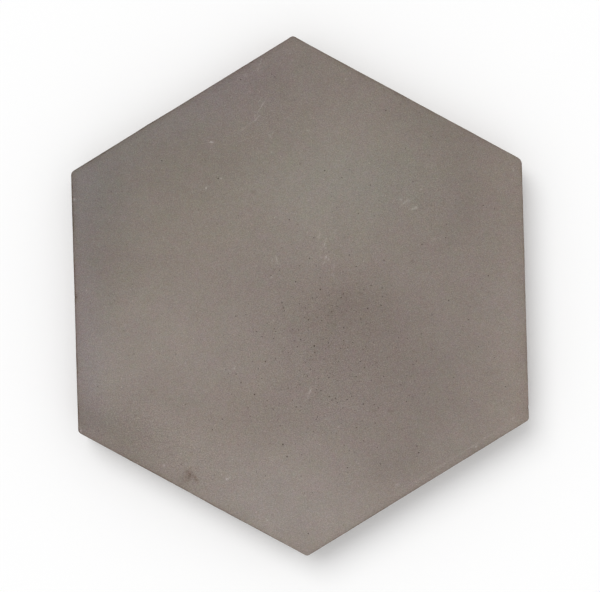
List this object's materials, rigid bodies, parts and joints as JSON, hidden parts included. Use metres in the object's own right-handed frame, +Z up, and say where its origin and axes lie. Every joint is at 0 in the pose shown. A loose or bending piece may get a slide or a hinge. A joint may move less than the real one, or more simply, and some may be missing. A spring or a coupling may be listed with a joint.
{
  "type": "hexagonal floor tile",
  "caption": "Plain hexagonal cement floor tile with a smooth, softly clouded taupe wearing face, eased edges and a flat-rimmed back.",
  "frame": {"origin": "on the bedding plane, under the middle of the wearing face", "axes": "+Z up out of the wearing face; +Y towards a corner; +X out of a flat side"},
  "size_m": [0.2, 0.2302, 0.016],
  "materials": {
    "cement": "matte"
  },
  "bodies": {
    "root": {"hexagon_tile": "cement"}
  },
  "joints": []
}
